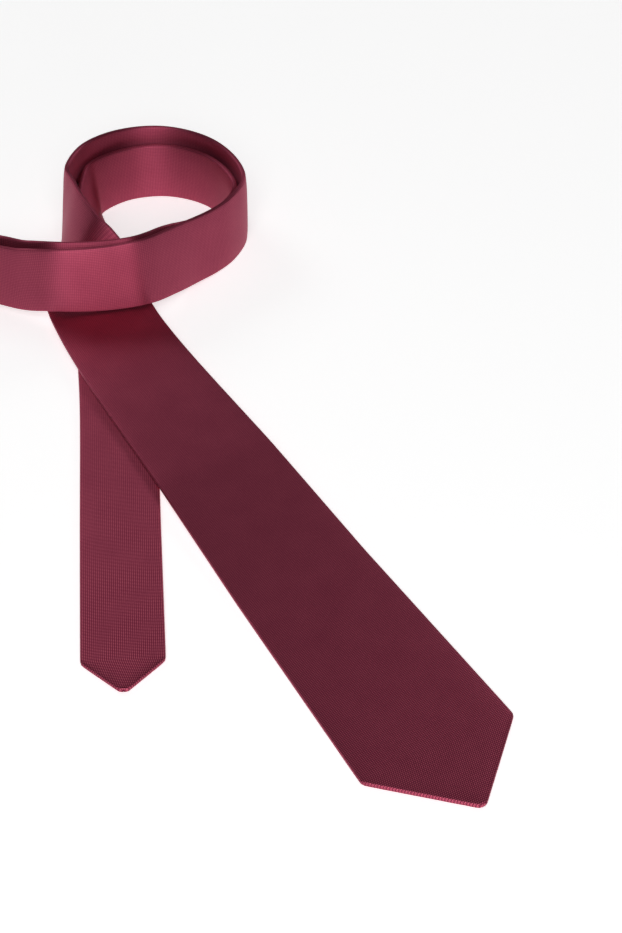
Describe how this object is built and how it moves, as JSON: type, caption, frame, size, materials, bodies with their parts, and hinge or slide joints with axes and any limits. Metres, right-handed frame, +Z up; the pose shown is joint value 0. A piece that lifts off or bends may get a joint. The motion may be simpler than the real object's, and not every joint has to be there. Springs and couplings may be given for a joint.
{
  "type": "necktie",
  "caption": "Lined necktie folded in half and rolled into one standing loop, with its wide and narrow blades laid flat in front.",
  "frame": {"origin": "middle of the laid tie's box, on the surface it lies on", "axes": "+Y from the two tips towards the rolled loop, +X to the right seen from the tips, +Z up"},
  "size_m": [0.2952, 0.4518, 0.0497],
  "materials": {
    "shell_cloth": "burgundy woven cloth with a fine light dot and a soft sheen",
    "interlining": "brushed undyed wool blend",
    "tipping_cloth": "smooth plain burgundy lining",
    "thread": "matching sewing thread",
    "label_tape": "plain woven tape with no text"
  },
  "bodies": {
    "coil": {"front_shell_band": "shell_cloth", "neck_gusset_shell": "shell_cloth", "tail_shell_band": "shell_cloth", "front_neck_seam": "thread", "tail_neck_seam": "thread", "front_interlining_band": "interlining", "tail_interlining_band": "interlining", "neck_slip_stitch": "thread"},
    "front_blade": {"front_shell_blade": "shell_cloth", "front_interlining_blade": "interlining", "front_tipping": "tipping_cloth", "front_bar_tack": "thread", "front_slip_stitch": "thread", "keeper_loop": "shell_cloth", "keeper_tack_left": "thread", "keeper_tack_right": "thread", "care_label": "label_tape", "label_stitch_left": "thread", "label_stitch_right": "thread"},
    "tail_blade": {"tail_shell_blade": "shell_cloth", "tail_interlining_blade": "interlining", "tail_tipping": "tipping_cloth", "tail_bar_tack": "thread", "tail_slip_stitch": "thread"}
  },
  "joints": [
    {"name": "front_blade_lift", "type": "hinge", "parent": "coil", "child": "front_blade", "pos_m": [-0.0398, 0.07571, 0.00635], "axis": [-0.8868, -0.4622, 0], "range_deg": [0, 65]},
    {"name": "tail_blade_swing", "type": "hinge", "parent": "coil", "child": "tail_blade", "pos_m": [-0.06682, 0.07971, 0.00155], "axis": [0, 0, -1], "range_deg": [0, 20]}
  ]
}
